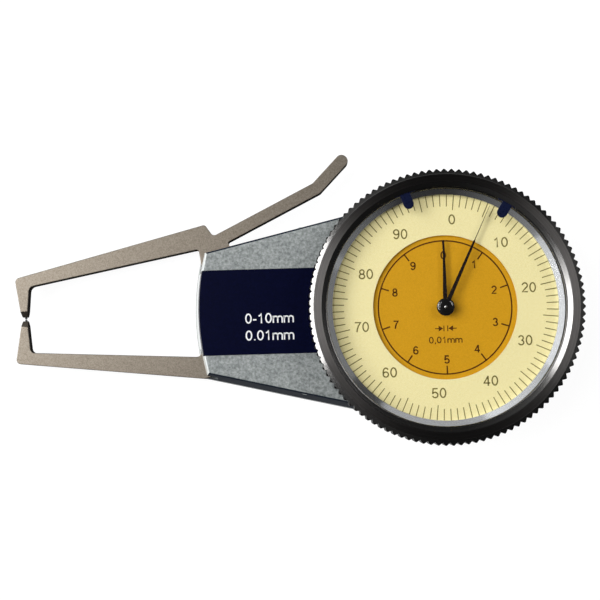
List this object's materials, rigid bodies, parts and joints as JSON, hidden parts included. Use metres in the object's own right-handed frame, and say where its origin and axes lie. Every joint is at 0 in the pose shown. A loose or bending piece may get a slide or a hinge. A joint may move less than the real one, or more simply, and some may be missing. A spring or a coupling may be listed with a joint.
{
  "type": "outside dial caliper gauge",
  "caption": "Hand-held outside dial caliper gauge with a fixed jaw, a pivoting jaw with thumb lever, a geared two-hand dial, a knurled turning bezel and tolerance markers.",
  "frame": {"origin": "on the dial's axis, at the back face that the gauge lies on", "axes": "+X from the jaws towards the dial, +Y towards the moving jaw and the thumb lever, +Z out of the dial"},
  "size_m": [0.1113, 0.0582, 0.0166],
  "materials": {
    "housing_paint": "hammer-tone enamel on die-cast zinc",
    "arm_steel": "ground satin steel plate",
    "contact_carbide": "lapped carbide",
    "bright_steel": "turned bright steel",
    "spring_steel": "drawn spring wire",
    "bronze": "sintered bronze",
    "brass": "stamped and cut brass",
    "jewel": "polished synthetic ruby",
    "label_blue": "printed and lacquered aluminium",
    "dial_gold": "printed satin gold aluminium",
    "scale_cream": "printed pale yellow aluminium",
    "hand_black": "black lacquered aluminium",
    "bezel_black": "turned aluminium, anodised black",
    "surround_silver": "turned silver aluminium",
    "crystal": "clear moulded acrylic",
    "marker_blue": "moulded dark blue plastic"
  },
  "bodies": {
    "housing": {"housing": "housing_paint", "back_cover": "housing_paint", "cover_screws": "bright_steel", "label_plate": "label_blue", "fixed_arm": "arm_steel", "fixed_contact": "contact_carbide", "fixed_arm_screws": "bright_steel", "pivot_pin": "bright_steel", "thrust_washers": "bronze", "lower_plate": "brass", "upper_plate": "brass", "movement_pillars": "brass", "pillar_screws": "bright_steel", "plate_screws": "bright_steel", "bearing_jewels": "jewel", "motion_stud": "bright_steel", "hairspring": "spring_steel", "hairspring_stud": "brass", "return_spring": "spring_steel", "spring_post": "bright_steel", "inner_dial": "dial_gold", "bezel_wire": "spring_steel"},
    "moving_jaw": {"moving_arm": "arm_steel", "moving_contact": "contact_carbide", "arm_bush": "bronze", "sector_gear": "brass", "sector_rivets": "bright_steel", "spring_pin": "bright_steel"},
    "first_gear": {"first_arbor": "bright_steel", "first_wheel": "brass"},
    "centre_gear": {"centre_arbor": "bright_steel", "cannon_pinion": "brass", "long_hand": "hand_black", "hand_hub": "hand_black"},
    "takeup_gear": {"takeup_arbor": "bright_steel", "takeup_wheel": "brass"},
    "motion_gear": {"motion_wheel": "brass"},
    "hour_gear": {"hour_wheel": "brass", "short_hand": "hand_black"},
    "bezel": {"bezel": "bezel_black", "crystal": "crystal", "dial_surround": "surround_silver", "scale_ring": "scale_cream", "scale_retainer": "bezel_black"},
    "low_marker": {"marker_low": "marker_blue"},
    "high_marker": {"marker_high": "marker_blue"}
  },
  "joints": [
    {"name": "arm_swing", "type": "hinge", "parent": "housing", "child": "moving_jaw", "pos_m": [-0.03971, 0.0088, 0.00465], "axis": [0, 0, -1], "range_deg": [0, 13.04], "stiffness_Nm_per_rad": 0.04, "springref_deg": -40.11, "deforming": ["return_spring"]},
    {"name": "first_gear_spin", "type": "hinge", "parent": "housing", "child": "first_gear", "pos_m": [-0.01394, -0.00159, 0.0065], "axis": [0, 0, -1], "range_deg": [-275, 5]},
    {"name": "centre_gear_spin", "type": "hinge", "parent": "housing", "child": "centre_gear", "pos_m": [0, 0, 0.0065], "axis": [0, 0, -1], "range_deg": [-30, 3660]},
    {"name": "takeup_gear_spin", "type": "hinge", "parent": "housing", "child": "takeup_gear", "pos_m": [0.00945, 0.00441, 0.0065], "axis": [0, 0, -1], "range_deg": [-370, 5], "deforming": ["hairspring"]},
    {"name": "motion_gear_spin", "type": "hinge", "parent": "housing", "child": "motion_gear", "pos_m": [-0.00115, 0.00654, 0.0095], "axis": [0, 0, -1], "range_deg": [-1460, 10]},
    {"name": "hour_gear_spin", "type": "hinge", "parent": "housing", "child": "hour_gear", "pos_m": [0, 0, 0.0105], "axis": [0, 0, -1], "range_deg": [-5, 370]},
    {"name": "bezel_turn", "type": "hinge", "parent": "housing", "child": "bezel", "pos_m": [0, 0, 0.0125], "axis": [0, 0, -1], "continuous": true},
    {"name": "low_marker_set", "type": "hinge", "parent": "bezel", "child": "low_marker", "pos_m": [0, 0, 0.0158], "axis": [0, 0, -1], "range_deg": [-140, 20]},
    {"name": "high_marker_set", "type": "hinge", "parent": "bezel", "child": "high_marker", "pos_m": [0, 0, 0.0158], "axis": [0, 0, -1], "range_deg": [-20, 140]}
  ],
  "couplings": [
    {"joint": "first_gear_spin", "follows": "arm_swing", "ratio": -20},
    {"joint": "centre_gear_spin", "follows": "arm_swing", "ratio": 276},
    {"joint": "takeup_gear_spin", "follows": "arm_swing", "ratio": -27.6},
    {"joint": "motion_gear_spin", "follows": "arm_swing", "ratio": -110.4},
    {"joint": "hour_gear_spin", "follows": "arm_swing", "ratio": 27.6}
  ]
}
